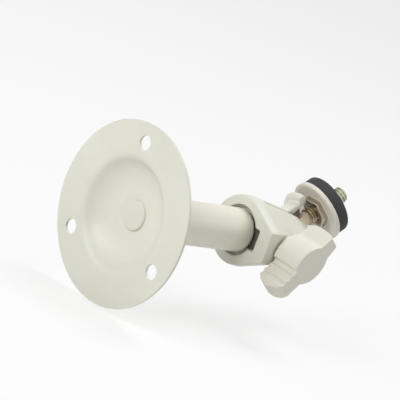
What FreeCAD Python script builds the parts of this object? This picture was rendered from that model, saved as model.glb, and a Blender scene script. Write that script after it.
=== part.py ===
import FreeCAD, Part
import math
import os

V = FreeCAD.Vector
os.makedirs("parts", exist_ok=True)

# Frame: origin on the wall plane at the centre of the flange, +X along the stem away
# from the wall, +Z up, and the wing knob on the -Y side. All sizes are in millimetres.

# Wall flange, pressed from sheet
flange_radius = 33.0
sheet = 1.0
dish_mouth_radius = 20.2
dish_floor_radius = 8.4
dish_depth = 6.4
dish_bands = 5
rim_break = 0.3
screw_circle_radius = 26.0
screw_hole_radius = 2.75
screw_count = 3
screw_phase = 87.0

# Stem, one turned bar riveted into the flange
stem_radius = 8.0
stem_length = 49.6
stem_round = 2.0
tenon_radius = 4.0
rivet_radius = 5.4
rivet_height = 1.0
journal_radius = 6.0
running_gap = 0.05
rivet_break = 0.5

# Swivel body, one casting with a collar, a tapered waist and a slit clamp
collar_radius = 13.15
collar_mouth_radius = 9.2
collar_mouth_depth = 2.5
collar_band = 3.4
collar_band_drop = 0.3
boss_reach = 17.4
boss_half_width = 6.0
seat_boss_radius = 5.2
waist_past_ball = 8.0
waist_end_radius = 8.2
key_width = 8.2
key_reach = 10.9
key_depth = 4.0
bearing_wall = 1.9
bush_wall = 1.0
bush_gap = 0.02
key_gap = 0.2
bush_key_thickness = 1.3
pocket_radius = 7.6
pocket_wall = 0.4
ball_back_wall = 2.85
slit_back = 4.0

# Ball clamp
ball_radius = 6.5
ball_gap = 0.05
head_tilt = 39.2
barrel_radius = 8.6
lip_radius = 11.1
lip_start = 10.9
barrel_front = 13.7
near_jaw_front = 9.2
jaw_round = 1.3
mouth_radius = 7.5
mouth_start = 3.6
mouth_start_radius = 5.2
mouth_half_width = 4.2
socket_bands = 8
slit_y = -1.6
slit_width = 1.4

# Clamp screw, its nut and its washer
bolt_radius = 2.5
bolt_clearance = 0.3
nut_width = 8.0
nut_height = 4.0
nut_pocket_gap = 0.1
nut_sink = 0.4
bolt_end_short = 0.2
bolt_end_chamfer = 0.5
washer_radius = 5.0
washer_thickness = 1.0
washer_bore_gap = 0.2
seat_gap = 0.05

# Wing knob
knob_height = 8.0
knob_half_length = 14.8
wing_half_thickness = 6.1
knob_turn = 52.0
knob_hub_radius = 8.4
knob_hub_blend = 2.5
knob_foot_radius = 5.4
knob_foot_height = 3.0
knob_corner = 2.7
knob_draft = 0.4
knob_round = 1.7
knob_round_height = 2.2
grip_grooves = 4
grip_pitch = 1.7
grip_depth = 0.6
grip_radius = 1.0
grip_end = 2.4
stud_in_knob = 6.8

# Pivot screw that holds the body on the stem
pivot_screw_radius = 2.5
pivot_screw_length = 12.0
pivot_head_radius = 4.5
pivot_head_height = 1.6
pivot_head_round = 1.0
pivot_head_gap = 0.15
pivot_thread_spare = 1.5
pivot_washer_radius = 7.0
pivot_washer_thickness = 0.6
spring_washer_height = 0.8
spring_washer_thickness = 0.5
spring_washer_waves = 3
spring_washer_bore_gap = 0.3
recess_radius = 2.2
recess_width = 1.1
recess_depth = 1.1

# Camera stud
neck_radius = 2.7
plate_distance = 18.05
plate_radius = 11.8
plate_thickness = 0.9
plate_lip = 0.7
plate_recess_radius = 10.4
plate_recess_slope = 3.0
plate_bore_gap = 0.2
plate_edge = 0.4
stud_radius = 3.175
stud_tip = 31.0
stud_tip_chamfer = 0.9
relief_radius = 2.7
relief_length = 0.9
relief_rise = 0.2
thread_start = 12.6
pad_radius = 11.3
pad_thickness = 4.7
pad_edge = 0.8
lock_nut_width = 11.1
lock_nut_height = 2.6
lock_nut_grip = 0.4
lock_nut_chamfer = 0.5
thread_gap = 0.05


def revolve_x(points):
    """Turn a closed outline, given as (x, radius) points, about the X axis."""
    wire = Part.makePolygon([V(x, r, 0) for x, r in points + points[:1]])
    return Part.Face(wire).revolve(V(0, 0, 0), V(1, 0, 0), 360)


def rod_x(x, radius, length):
    """A round rod that lies along +X from x."""
    return Part.makeCylinder(radius, length, V(x, 0, 0), V(1, 0, 0))


def rod_y(y, radius, length, x=0.0, z=0.0):
    """A round rod that lies along -Y from y."""
    return Part.makeCylinder(radius, length, V(x, y, z), V(0, -1, 0))


def corner(x, radius, along, inward, steps=2):
    """Points of a rounded corner on a turned outline, from its side to its face.

    The corner itself is at (x, radius). The round is along deep towards the stem's
    wall end or its free end, by the sign, and inward deep towards the axis.
    """
    points = []
    for i in range(steps + 1):
        angle = math.pi / 2 * i / steps
        points.append((x - along * (1 - math.sin(angle)), radius - inward * (1 - math.cos(angle))))
    return points


def on_head(shape):
    """Carry a shape from the head's own frame to its tilted place on the ball centre."""
    placed = shape.copy()
    placed.rotate(V(0, 0, 0), V(0, 1, 0), -head_tilt)
    placed.translate(V(ball_centre_x, 0, 0))
    return placed


def save(node, shape):
    shape = shape.removeSplitter()
    shape.exportStep("parts/" + node + ".step")
    print(node, "solids", len(shape.Solids), "volume", round(shape.Volume, 1), shape.isValid())


# Places along the stem, each from the one before it
dish_floor_front = dish_depth + sheet
collar_x = dish_floor_front + stem_length
bearing_x = collar_x + collar_mouth_depth
bearing_end_x = bearing_x + bearing_wall
stem_front_x = collar_x + stem_round
washer_x = bearing_end_x + seat_gap + spring_washer_height
journal_end_x = washer_x
pivot_head_x = washer_x + pivot_washer_thickness
pocket_end_x = pivot_head_x + pivot_head_height + pivot_head_gap
bolt_x = pocket_end_x + pocket_wall + bolt_clearance + bolt_radius
ball_centre_x = bolt_x + bolt_radius + bolt_clearance + ball_back_wall + ball_gap + ball_radius
band_end_x = collar_x + collar_band
waist_end_x = ball_centre_x + waist_past_ball
pad_top = plate_distance + plate_thickness + seat_gap + pad_thickness


def bowl(offset):
    """Outline of the pressed bowl, from its floor out to its mouth.

    The bowl is one arc that leaves the floor flat and meets the rim at a crease.
    The offset is 0 on the hollow side and the sheet's thickness on the other.
    """
    width = dish_mouth_radius - dish_floor_radius
    arc = (width ** 2 + dish_depth ** 2) / (2 * dish_depth)
    centre_x = dish_depth - arc
    spread = math.acos((offset - centre_x) / (arc + offset))
    points = []
    for i in range(dish_bands + 1):
        angle = spread * i / dish_bands
        points.append((centre_x + (arc + offset) * math.cos(angle),
                       dish_floor_radius + (arc + offset) * math.sin(angle)))
    return points


def make_flange():
    """The rim, the bowl and the floor, with the screw holes through the rim."""
    outline = [(0, flange_radius - rim_break), (rim_break, flange_radius), (sheet, flange_radius)]
    outline += reversed(bowl(sheet))
    outline += [(dish_floor_front, tenon_radius), (dish_depth, tenon_radius)]
    outline += bowl(0)
    flange = revolve_x(outline)
    for i in range(screw_count):
        angle = math.radians(screw_phase + 360 / screw_count * i)
        y = screw_circle_radius * math.cos(angle)
        z = screw_circle_radius * math.sin(angle)
        hole = Part.makeCylinder(screw_hole_radius, 3 * sheet, V(-sheet, y, z), V(1, 0, 0))
        flange = flange.cut(hole)
    return flange


def make_stem():
    """The bar with its riveted tenon, its rounded front, its journal and its tapped end."""
    rivet_x = dish_depth - rivet_height
    outline = [
        (rivet_x, 0),
        (rivet_x, rivet_radius - rivet_break),
        (rivet_x + rivet_break, rivet_radius),
        (dish_depth, rivet_radius),
        (dish_depth, tenon_radius),
        (dish_floor_front, tenon_radius),
        (dish_floor_front, stem_radius),
    ]
    shoulder = corner(stem_front_x, stem_radius, stem_round, stem_radius - journal_radius)
    outline += shoulder
    outline += [(journal_end_x, journal_radius), (journal_end_x, 0)]
    stem = revolve_x(outline)
    thread_depth = pivot_screw_length + pivot_thread_spare
    thread = rod_x(journal_end_x - thread_depth, pivot_screw_radius, thread_depth + 1)
    return stem.cut(thread)


def body_section(x, share):
    """A round section with a boss that runs out to a flat on the -Y side."""
    radius = collar_radius * share
    reach = boss_reach * share
    half_width = boss_half_width * share
    corner_distance = math.hypot(reach, half_width)
    corner_angle = math.atan2(half_width, -reach)
    touch_angle = corner_angle - math.acos(radius / corner_distance)
    touch_y = radius * math.cos(touch_angle)
    touch_z = radius * math.sin(touch_angle)
    upper = V(x, touch_y, touch_z)
    lower = V(x, touch_y, -touch_z)
    flat_top = V(x, -reach, half_width)
    flat_low = V(x, -reach, -half_width)
    arc = Part.Arc(lower, V(x, radius, 0), upper).toShape()
    lines = [Part.makeLine(upper, flat_top), Part.makeLine(flat_top, flat_low)]
    lines.append(Part.makeLine(flat_low, lower))
    return Part.Wire([arc] + lines)


def tapered(back, front):
    """A solid between two similar sections, with flat faces between their straight edges."""
    faces = []
    for face in Part.makeLoft([back, front], True, True).Faces:
        flat = isinstance(face.Surface, Part.BSplineSurface)
        faces.append(Part.Face(face.OuterWire) if flat else face)
    shell = Part.makeShell(faces)
    shell.sewShape()
    return Part.makeSolid(shell)


def far_barrel():
    """The far jaw: a barrel about the head's axis with a thick lip round its mouth."""
    outline = [(0, 0), (0, barrel_radius), (lip_start, barrel_radius)]
    back_corner = corner(lip_start, lip_radius, -jaw_round, jaw_round)
    outline += reversed(back_corner)
    outline += corner(barrel_front, lip_radius, jaw_round, jaw_round)
    outline += [(barrel_front, 0)]
    return revolve_x(outline)


def socket():
    """The ball's seat, bored in narrow bands that each touch the ball's running sphere."""
    half_band = math.pi / socket_bands / 2
    reach = (ball_radius + ball_gap) / math.cos(half_band)
    outline = [(-ball_radius - ball_gap, 0)]
    for i in range(socket_bands):
        angle = math.pi - half_band * (2 * i + 1)
        outline.append((reach * math.cos(angle), reach * math.sin(angle)))
    outline.append((ball_radius + ball_gap, 0))
    return revolve_x(outline)


def head_bore():
    """Socket for the ball and the slot-like mouth that the neck swings in."""
    cone = revolve_x([
        (0, 0),
        (0, mouth_start_radius),
        (mouth_start, mouth_start_radius),
        (barrel_front + 1, mouth_radius),
        (barrel_front + 1, 0),
    ])
    slot = Part.makeBox(barrel_front + 1, 2 * mouth_half_width, 2 * mouth_radius,
                        V(0, -mouth_half_width, -mouth_radius))
    return socket().fuse(cone.common(slot))


def collar_bore():
    """The collar's mouth with its keyway, the bearing and the pivot screw's pocket."""
    mouth = rod_x(collar_x - 1, collar_mouth_radius, collar_mouth_depth + 1)
    bearing = rod_x(bearing_x - 1, journal_radius + bush_wall, bearing_wall + 2)
    pocket = rod_x(bearing_end_x, pocket_radius, pocket_end_x - bearing_end_x)
    key = Part.makeBox(key_depth + 1, key_reach, key_width, V(collar_x - 1, -key_reach, -key_width / 2))
    return mouth.fuse([bearing, pocket, key])


def make_body():
    """The casting: collar band, tapered waist with its boss, far barrel, slit and bores."""
    waist_end_share = waist_end_radius / collar_radius
    ring = body_section(collar_x, 1 - collar_band_drop / collar_radius)
    back = body_section(band_end_x, 1)
    front = body_section(waist_end_x, waist_end_share)
    body = tapered(ring, back).fuse(tapered(back, front))
    seat_root_y = washer_seat_y() + seat_boss_radius
    body = body.fuse(rod_y(seat_root_y, seat_boss_radius, seat_boss_radius, bolt_x))

    slit_far = slit_y + slit_width / 2
    slit_near = slit_y - slit_width / 2
    wide = 4 * lip_radius
    far_side = Part.makeBox(4 * wide, wide, 2 * wide, V(0, slit_far, -wide))
    past_near = Part.makeBox(wide, wide, 2 * wide, V(near_jaw_front, slit_near - wide, -wide))
    past_far = Part.makeBox(wide, 2 * wide, 2 * wide, V(barrel_front, slit_near, -wide))
    slit = Part.makeBox(2 * wide, slit_width, 2 * wide, V(bolt_x - slit_back, slit_near, -wide))
    body = body.fuse(on_head(far_barrel()).common(far_side))
    body = body.cut([on_head(past_near), on_head(past_far), slit, on_head(head_bore()), collar_bore()])

    cross_hole = rod_y(wide, bolt_radius + bolt_clearance, 2 * wide, bolt_x)
    pocket_width = nut_width + 2 * nut_pocket_gap
    nut_pocket = Part.makeBox(pocket_width, wide, pocket_width,
                              V(bolt_x - pocket_width / 2, nut_seat_y(), -pocket_width / 2))
    return body.cut([cross_hole, nut_pocket])


def waist_share(x):
    """Size of the waist's section at x, as a share of the collar's."""
    along = (x - band_end_x) / (waist_end_x - band_end_x)
    return 1 - (1 - waist_end_radius / collar_radius) * along


def nut_seat_y():
    """Inner face of the nut's pocket, just under the far wall's surface."""
    return collar_radius * waist_share(bolt_x + nut_width / 2) - nut_height - nut_sink


def washer_seat_y():
    """Face of the small round boss that the washer bears on."""
    return -boss_reach * waist_share(bolt_x - washer_radius)


def make_spring_washer():
    """A sprung washer that rises and falls between two flat faces."""
    x = bearing_end_x + seat_gap
    inner = journal_radius + spring_washer_bore_gap
    outer = pivot_washer_radius
    steps = 8 * spring_washer_waves
    lift = spring_washer_height - spring_washer_thickness
    faces = []

    def point(radius, angle, top):
        rise = lift / 2 * (1 + math.sin(spring_washer_waves * angle))
        return V(x + rise + (spring_washer_thickness if top else 0),
                 radius * math.cos(angle), radius * math.sin(angle))
    for i in range(steps):
        a = 2 * math.pi * i / steps
        b = 2 * math.pi * (i + 1) / steps
        quads = [
            [point(inner, a, True), point(outer, a, True), point(outer, b, True), point(inner, b, True)],
            [point(inner, a, False), point(outer, a, False), point(outer, b, False), point(inner, b, False)],
            [point(outer, a, False), point(outer, a, True), point(outer, b, True), point(outer, b, False)],
            [point(inner, a, False), point(inner, a, True), point(inner, b, True), point(inner, b, False)],
        ]
        for quad in quads:
            faces.append(Part.Face(Part.makePolygon([quad[0], quad[1], quad[2], quad[0]])))
            faces.append(Part.Face(Part.makePolygon([quad[0], quad[2], quad[3], quad[0]])))
    shell = Part.makeShell(faces)
    shell.sewShape()
    return Part.makeSolid(shell)


def make_bush():
    """A nylon sleeve with a key that sits at the end of the collar's keyway."""
    bush = rod_x(bearing_x, journal_radius + bush_wall - bush_gap, bearing_wall)
    reach = key_reach - key_gap
    width = key_width - 2 * key_gap
    bush = bush.fuse(Part.makeBox(bush_key_thickness, reach, width, V(bearing_x, -reach, -width / 2)))
    return bush.cut(rod_x(bearing_x - 1, journal_radius + running_gap, bearing_wall + 2))


def make_pivot_washer():
    washer = rod_x(washer_x, pivot_washer_radius, pivot_washer_thickness)
    return washer.cut(rod_x(washer_x - 1, pivot_screw_radius + washer_bore_gap, pivot_washer_thickness + 2))


def make_pivot_screw():
    """A pan head screw with a cross recess."""
    top_x = pivot_head_x + pivot_head_height
    tip_x = pivot_head_x - pivot_screw_length
    outline = [(tip_x, 0), (tip_x, pivot_screw_radius)]
    outline += [(pivot_head_x, pivot_screw_radius), (pivot_head_x, pivot_head_radius)]
    outline += corner(top_x, pivot_head_radius, pivot_head_round, pivot_head_round)
    outline += [(top_x, 0)]
    screw = revolve_x(outline)
    for turn in (0, 90):
        bar = Part.makeBox(2 * recess_depth, 2 * recess_radius, recess_width,
                           V(top_x - recess_depth, -recess_radius, -recess_width / 2))
        bar.rotate(V(0, 0, 0), V(1, 0, 0), turn)
        screw = screw.cut(bar)
    return screw


def knob_base_y():
    return washer_seat_y() - 2 * seat_gap - washer_thickness - knob_foot_height


def make_washer():
    washer = rod_y(washer_seat_y() - seat_gap, washer_radius, washer_thickness, bolt_x)
    return washer.cut(rod_y(0, bolt_radius + running_gap, 2 * boss_reach, bolt_x))


def knob_outline(inset, depth):
    """Outline of the wing and its hub, drawn in by the inset, at a depth towards -Y."""
    long = knob_half_length - inset
    wide = wing_half_thickness - inset
    bend = knob_corner - inset
    hub = knob_hub_radius - inset
    blend = knob_hub_blend + inset
    blend_x = math.sqrt((hub + blend) ** 2 - (wide + blend) ** 2)
    touch = hub / (hub + blend)
    lean = math.atan2(wide + blend, blend_x)
    blend_turn = (lean + math.pi / 2) / 2
    bend_mid = bend * math.sqrt(0.5)
    quarter = [
        (long, wide - bend),
        (long - bend + bend_mid, wide - bend + bend_mid),
        (long - bend, wide),
        (blend_x, wide),
        (blend_x - blend * math.cos(blend_turn), wide + blend - blend * math.sin(blend_turn)),
        (blend_x * touch, (wide + blend) * touch),
    ]
    left = [(-x, z) for x, z in reversed(quarter)]
    half = [V(x, -depth, z) for x, z in quarter + [(0, hub)] + left]
    other = [V(-p.x, p.y, -p.z) for p in half]
    edges = []
    for side, after in ((half, other), (other, half)):
        edges.append(Part.Arc(side[0], side[1], side[2]).toShape())
        edges.append(Part.makeLine(side[2], side[3]))
        edges.append(Part.Arc(side[3], side[4], side[5]).toShape())
        edges.append(Part.Arc(side[5], side[6], side[7]).toShape())
        edges.append(Part.Arc(side[7], side[8], side[9]).toShape())
        edges.append(Part.makeLine(side[9], side[10]))
        edges.append(Part.Arc(side[10], side[11], side[12]).toShape())
        edges.append(Part.makeLine(side[12], after[0]))
    return Part.Wire(edges)


def make_knob():
    """The moulded wing knob: drafted sides, a rounded outer face, a hub and grip grooves."""
    shoulder = knob_height - knob_round_height
    outlines = [knob_outline(0, 0), knob_outline(knob_draft, shoulder)]
    steps = 2
    for i in range(1, steps + 1):
        angle = math.pi / 2 * i / steps
        outlines.append(knob_outline(knob_draft + knob_round * (1 - math.cos(angle)),
                                     shoulder + knob_round_height * math.sin(angle)))
    knob = Part.makeLoft(outlines, True, True)
    first = knob_half_length - grip_end
    sink = wing_half_thickness + grip_radius - grip_depth
    for end in (-1, 1):
        lean = V(0, -shoulder, end * knob_draft)
        for i in range(grip_grooves):
            along = end * (first - i * grip_pitch)
            knob = knob.cut(Part.makeCylinder(grip_radius, knob_height + 1, V(along, 0, -end * sink), lean))
    knob = knob.fuse(rod_y(knob_foot_height, knob_foot_radius, knob_foot_height))
    knob = knob.cut(rod_y(knob_height, bolt_radius, knob_height + stud_in_knob))
    knob.rotate(V(0, 0, 0), V(0, 1, 0), -knob_turn)
    knob.translate(V(bolt_x, knob_base_y(), 0))
    return knob


def make_clamp_stud():
    """The threaded stud that is moulded into the knob."""
    end_y = nut_seat_y() + nut_height - bolt_end_short
    length = end_y - (knob_base_y() - stud_in_knob)
    stud = rod_y(end_y, bolt_radius, length, bolt_x)
    return stud.makeChamfer(bolt_end_chamfer, [e for e in stud.Edges if e.BoundBox.YMin > end_y - 0.01])


def make_clamp_nut():
    nut = Part.makeBox(nut_width, nut_height, nut_width,
                       V(bolt_x - nut_width / 2, nut_seat_y(), -nut_width / 2))
    return nut.cut(rod_y(2 * boss_reach, bolt_radius + running_gap, 4 * boss_reach, bolt_x))


def make_ball_stud():
    """The ball, its neck and the camera thread, turned as one piece.

    A relief groove at the pad's face parts the lock nut's run of thread from the
    free end that goes into the camera.
    """
    neck_chamfer = stud_radius - neck_radius
    relief_end = pad_top + relief_rise
    outline = [
        (0, 0),
        (0, neck_radius),
        (thread_start, neck_radius),
        (thread_start + neck_chamfer, stud_radius),
        (relief_end - relief_length, stud_radius),
        (relief_end - relief_length, relief_radius),
        (relief_end, relief_radius),
        (relief_end, stud_radius),
        (stud_tip - stud_tip_chamfer, stud_radius),
        (stud_tip, stud_radius - stud_tip_chamfer),
        (stud_tip, 0),
    ]
    return on_head(Part.makeSphere(ball_radius).fuse(revolve_x(outline)))


def hexagon(x, width, height):
    """A hexagonal block across flats width, that stands along +X from x."""
    corner_radius = width / math.sqrt(3)
    points = []
    for i in range(6):
        angle = math.radians(60 * i + 30)
        points.append(V(x, corner_radius * math.cos(angle), corner_radius * math.sin(angle)))
    face = Part.Face(Part.makePolygon(points + points[:1]))
    return face.extrude(V(height, 0, 0))


def make_lock_nut():
    """A hexagon nut whose far part is pressed into the back of the plate."""
    start_x = plate_distance + lock_nut_grip - lock_nut_height
    corner_radius = lock_nut_width / math.sqrt(3)
    nut = hexagon(start_x, lock_nut_width, lock_nut_height)
    turned = revolve_x([
        (start_x, 0),
        (start_x, lock_nut_width / 2),
        (start_x + lock_nut_chamfer, corner_radius),
        (start_x + lock_nut_height, corner_radius),
        (start_x + lock_nut_height, 0),
    ])
    nut = nut.common(turned)
    return on_head(nut.cut(rod_x(0, stud_radius + thread_gap, stud_tip)))


def make_plate():
    """The round plate, hollow behind, with the hexagonal pocket for its nut."""
    front = plate_distance + plate_thickness
    rim = plate_distance - plate_lip
    bore = stud_radius + plate_bore_gap
    plate = revolve_x([
        (rim, plate_recess_radius),
        (rim, plate_radius - plate_edge),
        (rim + plate_edge, plate_radius),
        (front, plate_radius),
        (front, bore),
        (plate_distance, bore),
        (plate_distance, plate_recess_radius - plate_recess_slope),
    ])
    return on_head(plate.cut(hexagon(plate_distance - 1, lock_nut_width, lock_nut_grip + 1)))


def make_pad():
    back = plate_distance + plate_thickness + seat_gap
    bore = stud_radius + thread_gap
    outline = [(back, bore), (back, pad_radius)]
    outline += corner(pad_top, pad_radius, pad_edge, pad_edge)
    outline += [(pad_top, bore)]
    return on_head(revolve_x(outline))


nodes = {
    "base_flange": make_flange(),
    "stem": make_stem(),
    "swivel_body": make_body(),
    "collar_bush": make_bush(),
    "spring_washer": make_spring_washer(),
    "pivot_washer": make_pivot_washer(),
    "pivot_screw": make_pivot_screw(),
    "clamp_nut": make_clamp_nut(),
    "clamp_stud": make_clamp_stud(),
    "knob_washer": make_washer(),
    "wing_knob": make_knob(),
    "ball_stud": make_ball_stud(),
    "lock_nut": make_lock_nut(),
    "camera_plate": make_plate(),
    "camera_pad": make_pad(),
}
for node, shape in nodes.items():
    save(node, shape)
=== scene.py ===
import math

import bpy
from mathutils import Matrix, Vector


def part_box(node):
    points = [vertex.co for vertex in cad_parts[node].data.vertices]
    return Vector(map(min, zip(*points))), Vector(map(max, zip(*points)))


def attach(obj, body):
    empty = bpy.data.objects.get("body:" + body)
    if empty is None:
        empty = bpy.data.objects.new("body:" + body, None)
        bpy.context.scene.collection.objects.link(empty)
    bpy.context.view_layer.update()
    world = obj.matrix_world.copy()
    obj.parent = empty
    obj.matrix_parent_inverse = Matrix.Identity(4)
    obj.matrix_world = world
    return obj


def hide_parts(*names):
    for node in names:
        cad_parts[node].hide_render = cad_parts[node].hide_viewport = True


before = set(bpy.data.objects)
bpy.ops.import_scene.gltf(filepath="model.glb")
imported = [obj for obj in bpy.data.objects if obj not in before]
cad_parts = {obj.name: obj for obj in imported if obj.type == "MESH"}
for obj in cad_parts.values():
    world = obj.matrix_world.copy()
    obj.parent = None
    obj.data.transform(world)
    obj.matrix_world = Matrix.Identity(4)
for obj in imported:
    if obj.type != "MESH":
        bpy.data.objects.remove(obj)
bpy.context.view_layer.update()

MM = 0.001
HEAD_TILT = math.radians(39.2)
BALL_CENTRE = 80.0
HEAD_AXIS = (math.cos(HEAD_TILT), 0, math.sin(HEAD_TILT))
BALL_ALONG = BALL_CENTRE * HEAD_AXIS[0]

# Camera of the photograph, in the bracket's own frame. Lengths are in metres.
CAMERA_AZIMUTH = math.radians(-45.97)
CAMERA_ELEVATION = math.radians(12.22)
CAMERA_ROLL = math.radians(20.72)
CAMERA_DISTANCE = 0.9064
CAMERA_SIDE_STEP = 0.027007
CAMERA_RISE = 0.004697
CAMERA_LENS = 236.6
FILM_WIDTH = 36.0


def camera_axes():
    """Right, up and back of the photograph's view."""
    a, e, roll = CAMERA_AZIMUTH, CAMERA_ELEVATION, CAMERA_ROLL
    back = Vector((math.sin(a) * math.cos(e), -math.cos(a) * math.cos(e), math.sin(e)))
    level = Vector((math.cos(a), math.sin(a), 0))
    rise = back.cross(level)
    right = level * math.cos(roll) + rise * math.sin(roll)
    up = rise * math.cos(roll) - level * math.sin(roll)
    return right, up, back


RIGHT, UP, BACK = camera_axes()


def in_view(right, up, back):
    """A place given along the photograph's own right, up and back directions."""
    return RIGHT * right + UP * up + BACK * back


def make_camera():
    data = bpy.data.cameras.new("bracket_camera")
    data.lens = CAMERA_LENS
    data.sensor_width = FILM_WIDTH
    data.clip_start = 0.05
    data.clip_end = 60
    camera = bpy.data.objects.new("bracket_camera", data)
    bpy.context.scene.collection.objects.link(camera)
    turn = Matrix((RIGHT, UP, BACK)).transposed().to_4x4()
    camera.matrix_world = Matrix.Translation(
        in_view(CAMERA_SIDE_STEP, CAMERA_RISE, CAMERA_DISTANCE)) @ turn
    bpy.context.scene.camera = camera


# Helpers for nodes and selections

def deselect():
    bpy.ops.object.select_all(action="DESELECT")


def feed(links, socket, value):
    """Link an output to the socket, or set a constant on it."""
    if hasattr(value, "links"):
        links.new(value, socket)
    else:
        socket.default_value = value


def calculate(nodes, links, operation, first, second):
    node = nodes.new("ShaderNodeMath")
    node.operation = operation
    feed(links, node.inputs[0], first)
    feed(links, node.inputs[1], second)
    return node.outputs[0]


def stretch(nodes, links, value, low, high, to_low=0.0, to_high=1.0):
    node = nodes.new("ShaderNodeMapRange")
    links.new(value, node.inputs["Value"])
    for label, number in (("From Min", low), ("From Max", high), ("To Min", to_low), ("To Max", to_high)):
        node.inputs[label].default_value = number
    return node.outputs[0]


def noise(nodes, links, coordinates, scale, detail, roughness):
    texture = nodes.new("ShaderNodeTexNoise")
    texture.inputs["Detail"].default_value = detail
    texture.inputs["Roughness"].default_value = roughness
    links.new(coordinates, texture.inputs["Vector"])
    feed(links, texture.inputs["Scale"], scale)
    return texture.outputs["Fac"]


def mix_colours(nodes, links, share, first, second):
    """The first colour where the share is 0 and the second where it is 1."""
    node = nodes.new("ShaderNodeMix")
    node.data_type = "RGBA"
    feed(links, node.inputs[0], share)
    feed(links, node.inputs[6], first)
    feed(links, node.inputs[7], second)
    return node.outputs[2]


# Studio: a pale floor, two soft boxes from the upper left, one from above and one from the right
FLOOR_LEVEL = -0.0336
FLOOR_SIZE = 24
FLOOR_COLOUR = (0.86, 0.86, 0.855, 1)
FLOOR_GLOW = 0.78
WORLD_LIGHT = 0.16
LAMP_AIM = Vector((0.045, 0, 0))
# Each lamp's place along the view's right, up and back, its width in metres and its power in watts
LAMPS = {
    "key_box": ((-0.3, 0.6, 0.7), 0.45, 4.15),
    "left_box": ((-0.6, 0.6, 0.4), 0.45, 1.8),
    "top_box": ((0.5, 0.8, -0.1), 0.5, 4.2),
    "right_box": ((0.95, 0.2, 0.1), 0.5, 1.9),
}


def make_lights():
    for name, (place, width, power) in LAMPS.items():
        data = bpy.data.lights.new(name, "AREA")
        data.shape = "DISK"
        data.size = width
        data.energy = power
        lamp = bpy.data.objects.new(name, data)
        bpy.context.scene.collection.objects.link(lamp)
        spot = in_view(*place)
        lamp.location = spot
        lamp.rotation_mode = "QUATERNION"
        lamp.rotation_quaternion = (LAMP_AIM - spot).to_track_quat("-Z", "Y")


def seen_directly(nodes, links):
    """1 where a ray comes from the camera, a mirror or a clear surface."""
    ray = nodes.new("ShaderNodeLightPath").outputs
    either = calculate(nodes, links, "MAXIMUM", ray["Is Camera Ray"], ray["Is Glossy Ray"])
    return calculate(nodes, links, "MAXIMUM", either, ray["Is Transmission Ray"])


def make_world():
    world = bpy.data.worlds.new("studio")
    world.use_nodes = True
    nodes, links = world.node_tree.nodes, world.node_tree.links
    nodes.clear()
    lit = nodes.new("ShaderNodeBackground")
    lit.inputs["Strength"].default_value = WORLD_LIGHT
    seen = nodes.new("ShaderNodeBackground")
    for shade in (lit, seen):
        shade.inputs["Color"].default_value = (1, 1, 1, 1)
    mix = nodes.new("ShaderNodeMixShader")
    out = nodes.new("ShaderNodeOutputWorld")
    links.new(seen_directly(nodes, links), mix.inputs[0])
    links.new(lit.outputs[0], mix.inputs[1])
    links.new(seen.outputs[0], mix.inputs[2])
    links.new(mix.outputs[0], out.inputs[0])
    bpy.context.scene.world = world


def make_floor():
    deselect()
    bpy.ops.mesh.primitive_circle_add(vertices=96, radius=FLOOR_SIZE / 2, fill_type="NGON",
                                      location=(0, 0, FLOOR_LEVEL))
    floor = bpy.context.object
    floor.name = "studio_floor"
    bpy.ops.object.transform_apply(location=True, rotation=True, scale=True)
    material = bpy.data.materials.new("floor_paper")
    material.use_nodes = True
    nodes, links = material.node_tree.nodes, material.node_tree.links
    nodes.clear()
    paper = nodes.new("ShaderNodeBsdfDiffuse")
    paper.inputs["Color"].default_value = FLOOR_COLOUR
    glow = nodes.new("ShaderNodeEmission")
    glow.inputs["Strength"].default_value = 1.0
    mix = nodes.new("ShaderNodeMixShader")
    out = nodes.new("ShaderNodeOutputMaterial")
    share = calculate(nodes, links, "MULTIPLY", seen_directly(nodes, links), FLOOR_GLOW)
    links.new(share, mix.inputs[0])
    links.new(paper.outputs[0], mix.inputs[1])
    links.new(glow.outputs[0], mix.inputs[2])
    links.new(mix.outputs[0], out.inputs[0])
    floor.data.materials.append(material)


# Surface effects, shared by the finishes. A scale is in waves per metre.
CLOUD_SCALE = 42.0
DUST_SCALE = 2600.0


def new_group(name, inputs, outputs):
    """A node group with named number inputs and outputs."""
    group = bpy.data.node_groups.new(name, "ShaderNodeTree")
    for labels, side in ((inputs, "INPUT"), (outputs, "OUTPUT")):
        for label in labels:
            group.interface.new_socket(label, in_out=side, socket_type="NodeSocketFloat")
    start = group.nodes.new("NodeGroupInput")
    end = group.nodes.new("NodeGroupOutput")
    return group, start, end


def make_coat_group():
    """Peel of a sprayed or moulded surface: fine ripple, soft waves and a little settled dust."""
    group, start, end = new_group("coat_surface", ["Grain", "Wave"], ["Height", "Cloud", "Speck"])
    nodes, links = group.nodes, group.links
    place = nodes.new("ShaderNodeTexCoord").outputs["Object"]
    fine = noise(nodes, links, place, start.outputs["Grain"], 2.0, 0.55)
    soft = noise(nodes, links, place, start.outputs["Wave"], 1.0, 0.5)
    height = calculate(nodes, links, "ADD", calculate(nodes, links, "MULTIPLY", fine, 0.7),
                       calculate(nodes, links, "MULTIPLY", soft, 0.6))
    cloud = noise(nodes, links, place, CLOUD_SCALE, 3.0, 0.55)
    dust = stretch(nodes, links, noise(nodes, links, place, DUST_SCALE, 1.0, 0.4), 0.70, 0.78)
    links.new(height, end.inputs["Height"])
    links.new(cloud, end.inputs["Cloud"])
    links.new(dust, end.inputs["Speck"])
    return group


def way_along(nodes, links, axis, low, high):
    """0 below the low place and 1 above the high one, in millimetres along an axis."""
    place = nodes.new("ShaderNodeTexCoord").outputs["Object"]
    along = nodes.new("ShaderNodeVectorMath")
    along.operation = "DOT_PRODUCT"
    along.inputs[1].default_value = axis
    links.new(place, along.inputs[0])
    return stretch(nodes, links, along.outputs["Value"], low * MM, high * MM)


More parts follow.
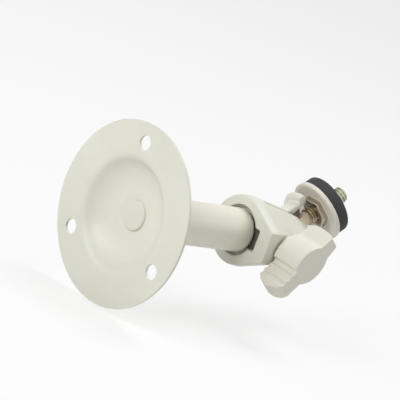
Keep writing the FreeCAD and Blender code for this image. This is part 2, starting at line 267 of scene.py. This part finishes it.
def finish_material(name, light, dark, roughness, bump, bump_distance, grain, wave,
                    speck=None, metallic=0.0, spread=0.08, other_end=None):
    """A finish whose colour drifts between two shades, with its own grain and sheen.

    The other end is a second colour, with the axis and the two places that it fades between. On the camera
    stud it is painted shade on the ball and neck; on the stem it is the plain white coat of the rivet head,
    left without the stem's painted light.
    """
    material = bpy.data.materials.new(name)
    material.use_nodes = True
    nodes, links = material.node_tree.nodes, material.node_tree.links
    nodes.clear()
    shader = nodes.new("ShaderNodeBsdfPrincipled")
    out = nodes.new("ShaderNodeOutputMaterial")
    links.new(shader.outputs[0], out.inputs[0])
    surface = nodes.new("ShaderNodeGroup")
    surface.node_tree = coat_surface
    surface.inputs["Grain"].default_value = grain
    surface.inputs["Wave"].default_value = wave
    cloud = surface.outputs["Cloud"]
    colour = mix_colours(nodes, links, stretch(nodes, links, cloud, 0.3, 0.7), dark + (1,), light + (1,))
    if speck is not None:
        colour = mix_colours(nodes, links, surface.outputs["Speck"], colour, speck + (1,))
    # Colour towards one end: painted shade on the camera stud's ball and neck, the plain white coat on the
    # stem's rivet head.
    if other_end is not None:
        other, axis, low, high = other_end
        colour = mix_colours(nodes, links, way_along(nodes, links, axis, low, high), other + (1,), colour)
    links.new(colour, shader.inputs["Base Color"])
    rough = stretch(nodes, links, cloud, 0.25, 0.75, roughness - spread, roughness + spread)
    links.new(rough, shader.inputs["Roughness"])
    relief = nodes.new("ShaderNodeBump")
    relief.inputs["Strength"].default_value = bump
    relief.inputs["Distance"].default_value = bump_distance
    links.new(surface.outputs["Height"], relief.inputs["Height"])
    links.new(relief.outputs[0], shader.inputs["Normal"])
    shader.inputs["Metallic"].default_value = metallic
    return material


coat_surface = make_coat_group()

finishes = {
    "white_coat": finish_material(
        "white_coat_finish", light=(0.74, 0.745, 0.655), dark=(0.70, 0.705, 0.61), speck=(0.66, 0.66, 0.58),
        roughness=0.42, bump=0.25, bump_distance=0.0001, grain=900, wave=160),
    # The stem's coat is a warmer, brighter copy of the white coat. The warmer tone is the stem's own paint;
    # the extra brightness is painted light for the light falling on the stem's top. The rivet head and tenon,
    # below 6 to 7 mm along X, keep the plain white coat without that painted light.
    "stem_coat_and_painted_light": finish_material(
        "stem_coat_and_painted_light_finish", light=(0.805, 0.79, 0.685), dark=(0.765, 0.75, 0.645), speck=(0.72, 0.70, 0.61),
        roughness=0.42, bump=0.25, bump_distance=0.0001, grain=900, wave=160,
        other_end=((0.70, 0.705, 0.615), (1, 0, 0), 6, 7)),
    "white_plastic": finish_material(
        "white_plastic_finish", light=(0.77, 0.75, 0.66), dark=(0.735, 0.715, 0.625),
        speck=(0.73, 0.71, 0.62), roughness=0.46, bump=0.2, bump_distance=0.00008, grain=2600, wave=240),
    "plate_plastic": finish_material(
        "plate_plastic_finish", light=(0.745, 0.695, 0.635), dark=(0.71, 0.66, 0.595),
        speck=(0.62, 0.58, 0.52), roughness=0.5, bump=0.2, bump_distance=0.00008, grain=2600, wave=240),
    "black_pad": finish_material(
        "black_pad_finish", light=(0.030, 0.028, 0.029), dark=(0.022, 0.021, 0.022),
        speck=(0.06, 0.058, 0.06), roughness=0.78, bump=0.5, bump_distance=0.00015, grain=2200, wave=500),
    "bright_steel": finish_material(
        "bright_steel_finish", light=(0.56, 0.52, 0.44), dark=(0.44, 0.40, 0.33), metallic=1.0,
        roughness=0.30, spread=0.1, bump=0.15, bump_distance=0.00005, grain=3000, wave=300),
    # The camera stud's ball and neck, up to the plate, fade to a darker brown: painted shade for the shadow
    # of the jaws, nut and plate. The thread's tip above the pad keeps the bright steel colour.
    "stud_steel_shaded_neck": finish_material(
        "stud_steel_shaded_neck_finish", light=(0.56, 0.56, 0.45), dark=(0.46, 0.46, 0.36), metallic=1.0,
        roughness=0.34, spread=0.1, bump=0.15, bump_distance=0.00005, grain=3000, wave=300,
        other_end=((0.48, 0.405, 0.30), HEAD_AXIS, BALL_ALONG + 17, BALL_ALONG + 23)),
    # The collar bush's near-black colour is painted shade, standing in for the shadow inside the collar's
    # keyway where the bush shows.
    "dark_nylon": finish_material(
        "bush_painted_shade_finish", light=(0.15, 0.146, 0.123), dark=(0.12, 0.117, 0.098),
        roughness=0.6, bump=0.2, bump_distance=0.00008, grain=2400, wave=300),
}

node_finish = {
    "base_flange": "white_coat",
    "stem": "stem_coat_and_painted_light",
    "swivel_body": "white_coat",
    "collar_bush": "dark_nylon",
    "spring_washer": "bright_steel",
    "pivot_washer": "bright_steel",
    "pivot_screw": "bright_steel",
    "clamp_nut": "bright_steel",
    "clamp_stud": "bright_steel",
    "knob_washer": "bright_steel",
    "wing_knob": "white_plastic",
    "ball_stud": "stud_steel_shaded_neck",
    "lock_nut": "bright_steel",
    "camera_plate": "plate_plastic",
    "camera_pad": "black_pad",
}


def dress_nodes():
    for node, finish in node_finish.items():
        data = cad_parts[node].data
        data.materials.clear()
        data.materials.append(finishes[finish])


# Pieces made here. Lengths in this part are written in millimetres and turned to metres.
BOLT_X = 67.8


def seed_point(name, place):
    """A new mesh that is one point, to be drawn out into an outline."""
    deselect()
    bpy.ops.mesh.primitive_plane_add(size=MM, location=(0, 0, 0))
    piece = bpy.context.object
    piece.name = name
    piece.data.name = name
    bpy.ops.object.mode_set(mode="EDIT")
    bpy.ops.mesh.select_all(action="SELECT")
    bpy.ops.mesh.merge(type="CENTER")
    bpy.ops.transform.translate(value=place)
    return piece


def draw_outline(name, outline):
    """A line through (x, radius) points, in the plane of the stem's axis and +Y."""
    first = Vector((outline[0][0] * MM, outline[0][1] * MM, 0))
    piece = seed_point(name, first)
    for before, after in zip(outline, outline[1:]):
        step = Vector(((after[0] - before[0]) * MM, (after[1] - before[1]) * MM, 0))
        bpy.ops.mesh.extrude_vertices_move(TRANSFORM_OT_translate={"value": step})
    return piece


def turned(name, outline, steps=96):
    """A closed outline of (x, radius) points, turned about the X axis."""
    piece = draw_outline(name, list(outline) + [outline[0]])
    bpy.ops.mesh.select_all(action="SELECT")
    bpy.ops.mesh.spin(steps=steps, angle=2 * math.pi, center=(0, 0, 0), axis=(1, 0, 0))
    finish_mesh()
    return piece


def finish_mesh():
    """Close seams and poles and turn the faces outwards."""
    bpy.ops.mesh.select_all(action="SELECT")
    bpy.ops.mesh.remove_doubles(threshold=0.002 * MM)
    bpy.ops.mesh.dissolve_degenerate(threshold=0.001 * MM)
    bpy.ops.mesh.select_all(action="SELECT")
    bpy.ops.mesh.normals_make_consistent(inside=False)
    bpy.ops.object.mode_set(mode="OBJECT")


def make_active(piece):
    deselect()
    piece.select_set(True)
    bpy.context.view_layer.objects.active = piece


def apply_modifier(piece, kind, **values):
    make_active(piece)
    modifier = piece.modifiers.new(kind.lower(), kind)
    for label, value in values.items():
        setattr(modifier, label, value)
    bpy.ops.object.modifier_apply(modifier=modifier.name)


def soften(piece, width, segments):
    """A small even round along the edges that turn by more than 30 degrees."""
    apply_modifier(piece, "BEVEL", width=width * MM, segments=segments, limit_method="ANGLE",
                   angle_limit=math.radians(30), harden_normals=False)


def smooth(piece, angle=32):
    make_active(piece)
    bpy.ops.object.shade_smooth_by_angle(angle=math.radians(angle))


def combine(piece, other, operation):
    """Cut, join or keep what is common, and let the other mesh go."""
    apply_modifier(piece, "BOOLEAN", operation=operation, object=other, solver="EXACT")
    bpy.data.objects.remove(other, do_unlink=True)


def carry(piece, turn, place):
    """Turn a piece about X, Y and Z, move it to a place in millimetres, and apply both."""
    make_active(piece)
    piece.rotation_mode = "XYZ"
    piece.rotation_euler = turn
    piece.location = [length * MM for length in place]
    bpy.ops.object.transform_apply(location=True, rotation=True, scale=True)


def carry_to_head(piece):
    """Take a piece from the head's own axis, which lies along X, to its tilted place."""
    carry(piece, (0, -HEAD_TILT, 0), (BALL_CENTRE, 0, 0))


def carry_to_bolt(piece):
    """Take a piece from the X axis to the clamp screw's axis, with +X turned to -Y."""
    carry(piece, (0, 0, -math.pi / 2), (BOLT_X, 0, 0))


def rod(name, start, end, radius, steps):
    return turned(name, [(start, 0), (start, radius), (end, radius), (end, 0)], steps)


def arc(centre_x, centre_r, radius, start, end, steps):
    """Points of an arc of an outline, from one angle to another, in degrees from +X."""
    points = []
    for i in range(steps + 1):
        angle = math.radians(start + (end - start) * i / steps)
        points.append((centre_x + radius * math.cos(angle), centre_r + radius * math.sin(angle)))
    return points


def threaded_rod(name, start, end, radius, pitch, blank):
    """A right-hand thread along X, cut from a blank outline that gives its ends."""
    depth = 0.58 * pitch
    outline = []
    x = start - 2 * pitch
    while x < end + 2 * pitch:
        outline += [(x, radius - depth), (x + 0.2 * pitch, radius - depth),
                    (x + 0.52 * pitch, radius), (x + 0.68 * pitch, radius)]
        x += pitch
    outline.append((x, radius - depth))
    piece = draw_outline(name, outline)
    bpy.ops.object.mode_set(mode="OBJECT")
    apply_modifier(piece, "SCREW", axis="X", angle=2 * math.pi, screw_offset=pitch * MM, steps=40,
                   render_steps=40, use_smooth_shade=False)
    bpy.ops.object.mode_set(mode="EDIT")
    bpy.ops.mesh.select_all(action="SELECT")
    bpy.ops.mesh.remove_doubles(threshold=0.005 * MM)
    for place, side in ((start - 0.4 * pitch, -1), (end + 0.4 * pitch, 1)):
        bpy.ops.mesh.select_all(action="SELECT")
        bpy.ops.mesh.bisect(plane_co=(place * MM, 0, 0), plane_no=(side, 0, 0), use_fill=True,
                            clear_outer=True)
    finish_mesh()
    combine(piece, turned(name + "_blank", blank, 64), "INTERSECT")
    return piece


# Flange, pressed from sheet
FLANGE_RADIUS = 33.0
SHEET = 1.0
DISH_MOUTH = 20.2
DISH_FLOOR = 8.4
DISH_DEPTH = 6.4
SCREW_CIRCLE = 26.0
SCREW_HOLE = 2.75
SCREW_ANGLES = (87, 207, 327)
EDGE_ROUND = 0.28
MOUTH_EASE = 1.9
RIM_RINGS = (24, 28)
TENON_RADIUS = 4.0


def bowl(offset):
    """The bowl's arc from its floor out to its mouth, on the hollow or the other side."""
    width = DISH_MOUTH - DISH_FLOOR
    radius = (width ** 2 + DISH_DEPTH ** 2) / (2 * DISH_DEPTH)
    centre = DISH_DEPTH - radius
    spread = math.degrees(math.acos((offset - centre) / (radius + offset)))
    return arc(centre, DISH_FLOOR, radius + offset, 0, spread, 30)


def eased(points, flat_x):
    """The bowl's outline, led over to the flat rim by a soft curve instead of a crease."""
    mouth = Vector((points[-1][0], points[-1][1]))
    kept = [p for p in points if (Vector(p) - mouth).length > MOUTH_EASE]
    start, end = Vector(kept[-1]), Vector((flat_x, mouth.y + MOUTH_EASE))
    steps = 6
    curve = []
    for i in range(1, steps + 1):
        t = i / steps
        place = start * (1 - t) ** 2 + mouth * 2 * t * (1 - t) + end * t ** 2
        curve.append((place.x, place.y))
    return kept + curve


def make_flange():
    outline = [(0, FLANGE_RADIUS), (SHEET, FLANGE_RADIUS)]
    outline += [(SHEET, radius) for radius in reversed(RIM_RINGS)]
    outline += reversed(eased(bowl(SHEET), SHEET))
    outline += [(DISH_DEPTH + SHEET, TENON_RADIUS), (DISH_DEPTH, TENON_RADIUS)]
    outline += eased(bowl(0), 0)
    outline += [(0, radius) for radius in RIM_RINGS]
    flange = turned("pressed_flange", outline, 144)
    for degrees in SCREW_ANGLES:
        hole = rod("hole", -SHEET, 2 * SHEET, SCREW_HOLE - 0.02, 40)
        angle = math.radians(degrees)
        carry(hole, (0, 0, 0), (0, SCREW_CIRCLE * math.cos(angle), SCREW_CIRCLE * math.sin(angle)))
        combine(flange, hole, "DIFFERENCE")
    soften(flange, EDGE_ROUND, 3)
    smooth(flange)
    return flange


# Stem, riveted through the flange's floor
STEM_RADIUS = 8.0
STEM_FRONT = 59.0
JOURNAL_RADIUS = 6.0
JOURNAL_END = 62.25
SHOULDER_ROUND = 2.0
RIVET_RADIUS = 5.4
RIVET_HEIGHT = 1.0
RIVET_ROUND = 0.6
SCREW_BORE = 2.5
BORE_DEPTH = 13.5


def make_stem():
    floor = DISH_DEPTH
    front = floor + SHEET
    outline = [(floor - RIVET_HEIGHT, 0)]
    outline += reversed(arc(floor - 0.4, RIVET_RADIUS - RIVET_ROUND, RIVET_ROUND, 90, 180, 5))
    outline += [(floor, RIVET_RADIUS), (floor, TENON_RADIUS), (front, TENON_RADIUS)]
    outline += [(front, STEM_RADIUS - 0.2), (front + 0.2, STEM_RADIUS)]
    outline += [(x, STEM_RADIUS) for x in (20, 34, 48)]
    outline += reversed(arc(STEM_FRONT - SHOULDER_ROUND, JOURNAL_RADIUS, SHOULDER_ROUND, 0, 90, 8))
    outline += [(JOURNAL_END, JOURNAL_RADIUS), (JOURNAL_END, SCREW_BORE),
                (JOURNAL_END - BORE_DEPTH, SCREW_BORE), (JOURNAL_END - BORE_DEPTH, 0)]
    stem = turned("painted_stem", outline, 96)
    smooth(stem)
    return stem


def melt_edges(piece, voxel, passes):
    """Even rounded edges all over a cast or moulded piece."""
    apply_modifier(piece, "REMESH", mode="VOXEL", voxel_size=voxel * MM, adaptivity=0.0)
    apply_modifier(piece, "SMOOTH", factor=0.5, iterations=passes)
    apply_modifier(piece, "DECIMATE", ratio=0.5)
    make_active(piece)
    bpy.ops.object.shade_smooth()


def make_body():
    """The cast body with rounded edges, from a merged copy of its solid."""
    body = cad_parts["swivel_body"].copy()
    body.data = body.data.copy()
    body.parent = None
    for key in list(body.keys()):
        del body[key]
    body.name = "cast_body"
    body.data.name = "cast_body"
    bpy.context.scene.collection.objects.link(body)
    make_active(body)
    bpy.ops.object.mode_set(mode="EDIT")
    bpy.ops.mesh.select_all(action="SELECT")
    bpy.ops.mesh.remove_doubles(threshold=0.001 * MM)
    bpy.ops.object.mode_set(mode="OBJECT")
    melt_edges(body, 0.24, 20)
    return body


# Wing knob. Its wings lie along X and its axis along -Y before it is turned to its place.
KNOB_TURN = math.radians(51.5)
KNOB_BASE = -18.0
KNOB_FACE = -30.2
HUB_RADIUS = 9.4
HUB_DROP = 3.0
HUB_BLEND = 1.6
WING_HALF_THICKNESS = 3.2
SHORT_WING_UNDERSIDE = -1.0
FACE_DRAFT = 0.94
# The two wing ends as (reach from the axis, y) points
LONG_WING = [(13.3, KNOB_BASE), (15.3, -20.2), (16.1, -22.6), (16.3, -25.0), (16.0, -27.2), (15.1, -29.0),
             (13.7, KNOB_FACE)]
SHORT_WING = [(12.0, KNOB_BASE), (13.1, -20.2), (13.5, -22.6), (13.5, -25.0), (13.3, -27.2), (12.9, -29.0),
              (12.2, KNOB_FACE)]
GRIP_PLACES = (7.1, 9.7, 12.3)
GRIP_RADIUS = 1.3
GRIP_DEPTH = 0.85


def slab(name, points, move):
    """A closed outline of (x, y, z) points in millimetres, filled and drawn out along a move."""
    start = Vector(points[0]) * MM
    piece = seed_point(name, start)
    for before, after in zip(points, points[1:]):
        step = (Vector(after) - Vector(before)) * MM
        bpy.ops.mesh.extrude_vertices_move(TRANSFORM_OT_translate={"value": step})
    bpy.ops.mesh.select_all(action="SELECT")
    bpy.ops.mesh.edge_face_add()
    bpy.ops.mesh.extrude_region_move(TRANSFORM_OT_translate={"value": Vector(move) * MM})
    return piece


def wing_outline():
    """The knob seen from its face: flat wings, a soft hollow beside the hub and the hub's flattened round."""
    reach = HUB_RADIUS + HUB_BLEND
    rise = WING_HALF_THICKNESS + HUB_BLEND
    lean = math.degrees(math.asin((rise + HUB_DROP) / reach))
    blend_x = reach * math.cos(math.radians(lean))
    tip = max(reach_out for reach_out, y in LONG_WING) + 1
    quarter = [(tip, WING_HALF_THICKNESS), (tip - 4, WING_HALF_THICKNESS)]
    quarter += arc(blend_x, rise, HUB_BLEND, 270, 180 + lean, 6)
    quarter += arc(0, -HUB_DROP, HUB_RADIUS, lean, 90, 8)[1:]
    half = quarter + [(-x, z) for x, z in reversed(quarter[:-1])]
    under = [(-x, -z) for x, z in half]
    under[-2:] = [(tip, SHORT_WING_UNDERSIDE)]
    return half + under


def make_knob():
    base = [(x, KNOB_BASE, z) for x, z in wing_outline()]
    knob = slab("moulded_knob", base, (0, KNOB_FACE - KNOB_BASE, 0))
    bpy.ops.transform.resize(value=(1, 1, FACE_DRAFT), center_override=(0, KNOB_FACE * MM, 0))
    finish_mesh()
    ends = SHORT_WING + [(-x, y) for x, y in reversed(LONG_WING)]
    side = slab("wing_ends", [(x, y, -10) for x, y in ends], (0, 0, 20))
    finish_mesh()
    combine(knob, side, "INTERSECT")
    offset = WING_HALF_THICKNESS + GRIP_RADIUS - GRIP_DEPTH
    for place in GRIP_PLACES:
        groove = rod("groove", -KNOB_BASE - 1, -KNOB_FACE + 1, GRIP_RADIUS, 24)
        carry(groove, (0, 0, -math.pi / 2), (-place, 0, offset))
        combine(knob, groove, "DIFFERENCE")
    carry(knob, (0, -KNOB_TURN, 0), (BOLT_X, 0, 0))
    melt_edges(knob, 0.2, 11)
    return knob


# Ball, neck and camera thread
BALL_RADIUS = 6.5
NECK_RADIUS = 2.7
STUD_RADIUS = 3.175
THREAD_START = 12.6
STUD_TIP = 31.0
CAMERA_PITCH = 1.27


def make_camera_stud():
    neck_start = math.degrees(math.asin((NECK_RADIUS + 0.5) / BALL_RADIUS))
    outline = list(reversed(arc(0, 0, BALL_RADIUS, neck_start, 180, 40)))
    outline += [(BALL_RADIUS * math.cos(math.radians(neck_start)) + 0.35, NECK_RADIUS)]
    outline += [(9, NECK_RADIUS), (THREAD_START + 0.6, NECK_RADIUS - 0.1), (THREAD_START + 0.6, 0)]
    ball = turned("ball_and_neck", outline, 72)
    thread = threaded_rod("camera_thread", THREAD_START, STUD_TIP, STUD_RADIUS - 0.01, CAMERA_PITCH, [
        (THREAD_START, 0), (THREAD_START, NECK_RADIUS - 0.3), (THREAD_START + 0.7, STUD_RADIUS + 0.2),
        (STUD_TIP - 1.1, STUD_RADIUS + 0.2), (STUD_TIP, STUD_RADIUS - 0.9), (STUD_TIP, 0)])
    combine(ball, thread, "UNION")
    carry_to_head(ball)
    smooth(ball, 28)
    return ball


# Plate, its nut and its pad
PLATE_AT = 18.05
PLATE_RADIUS = 11.8
PLATE_THICKNESS = 0.9
PLATE_LIP = 0.7
PLATE_RECESS = 10.4
PLATE_FLOOR = 7.4
PAD_START = 19.0
PAD_TOP = 23.7
PAD_RADIUS = 11.3
NUT_WIDTH = 11.1
NUT_START = 15.85
NUT_HEIGHT = 2.6
NUT_GRIP = 0.4
NUT_BORE = STUD_RADIUS + 0.06


def hexagon_block(name, start, end, width):
    deselect()
    bpy.ops.mesh.primitive_cylinder_add(vertices=6, radius=width / math.sqrt(3) * MM,
                                        depth=(end - start) * MM, rotation=(0, math.pi / 2, 0),
                                        location=((start + end) / 2 * MM, 0, 0))
    block = bpy.context.object
    block.name = name
    bpy.ops.object.transform_apply(location=True, rotation=True, scale=True)
    deselect()
    return block


def make_plate():
    rim = PLATE_AT - PLATE_LIP
    front = PLATE_AT + PLATE_THICKNESS
    bore = STUD_RADIUS + 0.2
    outline = [(rim + 0.12, PLATE_RECESS - 0.25), (rim, PLATE_RECESS + 0.1)]
    outline += reversed(arc(rim + 0.4, PLATE_RADIUS - 0.4, 0.4, 90, 180, 5))
    outline += reversed(arc(front - 0.15, PLATE_RADIUS - 0.15, 0.15, 0, 90, 3))
    outline += [(front, bore), (PLATE_AT, bore), (PLATE_AT, PLATE_FLOOR - 0.1)]
    outline += [(PLATE_AT - 0.1, PLATE_FLOOR + 0.45)]
    plate = turned("white_plate", outline, 120)
    pocket = hexagon_block("nut_pocket", PLATE_AT - 1, PLATE_AT + NUT_GRIP, NUT_WIDTH + 0.02)
    combine(plate, pocket, "DIFFERENCE")
    carry_to_head(plate)
    smooth(plate)
    return plate


def make_pad():
    bore = STUD_RADIUS + 0.05
    middle = (PAD_START + PAD_TOP) / 2
    outline = [(PAD_START, bore), (PAD_START, PAD_RADIUS - 0.45)]
    outline += reversed(arc(PAD_START + 0.35, PAD_RADIUS - 0.4, 0.35, 100, 180, 4))
    outline += [(middle - 0.4, PAD_RADIUS - 0.01), (middle + 0.2, PAD_RADIUS - 0.02)]
    outline += reversed(arc(PAD_TOP - 0.6, PAD_RADIUS - 0.62, 0.6, 0, 82, 6))
    outline += [(PAD_TOP, 8.0), (PAD_TOP, bore + 0.3), (PAD_TOP - 0.3, bore)]
    pad = turned("foam_pad", outline, 120)
    carry_to_head(pad)
    smooth(pad)
    return pad


def make_lock_nut():
    corner = NUT_WIDTH / math.sqrt(3)
    nut = hexagon_block("lock_nut_block", NUT_START, NUT_START + NUT_HEIGHT, NUT_WIDTH)
    blank = turned("nut_blank", [(NUT_START, 0), (NUT_START, NUT_WIDTH / 2 - 0.1),
                                 (NUT_START + 0.6, corner + 0.1), (NUT_START + NUT_HEIGHT, corner + 0.1),
                                 (NUT_START + NUT_HEIGHT, 0)], 72)
    combine(nut, blank, "INTERSECT")
    bore = turned("nut_bore", [(NUT_START - 1, 0), (NUT_START - 1, 4.2), (NUT_START + 0.6, NUT_BORE),
                               (NUT_START + 4, NUT_BORE), (NUT_START + 4, 0)], 48)
    combine(nut, bore, "DIFFERENCE")
    nut.name = "hexagon_lock_nut"
    soften(nut, 0.12, 2)
    carry_to_head(nut)
    smooth(nut)
    return nut


# Clamp screw and its square nut. The -Y side is +X before they are carried to the bolt.
CLAMP_PITCH = 0.8
CLAMP_RADIUS = 2.5
SQUARE_NUT_BORE = 2.56
SQUARE_NUT_CORNER = 5.9


def make_clamp_thread():
    low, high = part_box("clamp_stud")
    start, end = -high.y / MM, -low.y / MM
    stud = threaded_rod("clamp_thread", start, end, CLAMP_RADIUS - 0.01, CLAMP_PITCH, [
        (start, 0), (start, CLAMP_RADIUS - 0.55), (start + 0.7, CLAMP_RADIUS + 0.2),
        (end, CLAMP_RADIUS + 0.2), (end, 0)])
    carry_to_bolt(stud)
    smooth(stud, 28)
    return stud


def make_square_nut():
    low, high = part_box("clamp_nut")
    size = high - low
    deselect()
    bpy.ops.mesh.primitive_cube_add(size=1, location=(low + high) / 2, scale=size)
    nut = bpy.context.object
    nut.name = "square_clamp_nut"
    bpy.ops.object.transform_apply(location=True, rotation=True, scale=True)
    soften(nut, 0.2, 3)
    deselect()
    start, end = -high.y / MM, -low.y / MM
    blank = turned("nut_cone", [(start, 0), (start, 3.7), (start + 1.1, SQUARE_NUT_CORNER),
                                (end, SQUARE_NUT_CORNER), (end, 0)], 72)
    carry_to_bolt(blank)
    combine(nut, blank, "INTERSECT")
    bore = turned("nut_bore", [(start - 1, 0), (start - 1, 3.6), (start + 0.5, SQUARE_NUT_BORE),
                               (end + 1, SQUARE_NUT_BORE), (end + 1, 0)], 48)
    carry_to_bolt(bore)
    combine(nut, bore, "DIFFERENCE")
    smooth(nut)
    return nut


# Each piece stands for one node: piece maker, node, body and slot
pieces = [
    (make_flange, "base_flange", "wall_arm", "white_coat"),
    (make_stem, "stem", "wall_arm", "white_coat"),
    (make_body, "swivel_body", "swivel_head", "white_coat"),
    (make_knob, "wing_knob", "wing", "white_plastic"),
    (make_camera_stud, "ball_stud", "camera_head", "bright_steel"),
    (make_lock_nut, "lock_nut", "lock_ring", "bright_steel"),
    (make_plate, "camera_plate", "lock_ring", "white_plastic"),
    (make_pad, "camera_pad", "pad_seat", "black_pad"),
    (make_clamp_thread, "clamp_stud", "wing", "bright_steel"),
    (make_square_nut, "clamp_nut", "swivel_head", "bright_steel"),
]


def make_pieces():
    for maker, node, body, slot in pieces:
        piece = maker()
        piece.data.materials.clear()
        piece.data.materials.append(finishes[node_finish[node]])
        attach(piece, body)
        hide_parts(node)


bpy.context.scene.view_settings.view_transform = "Standard"
make_camera()
make_world()
make_lights()
make_floor()
dress_nodes()
make_pieces()
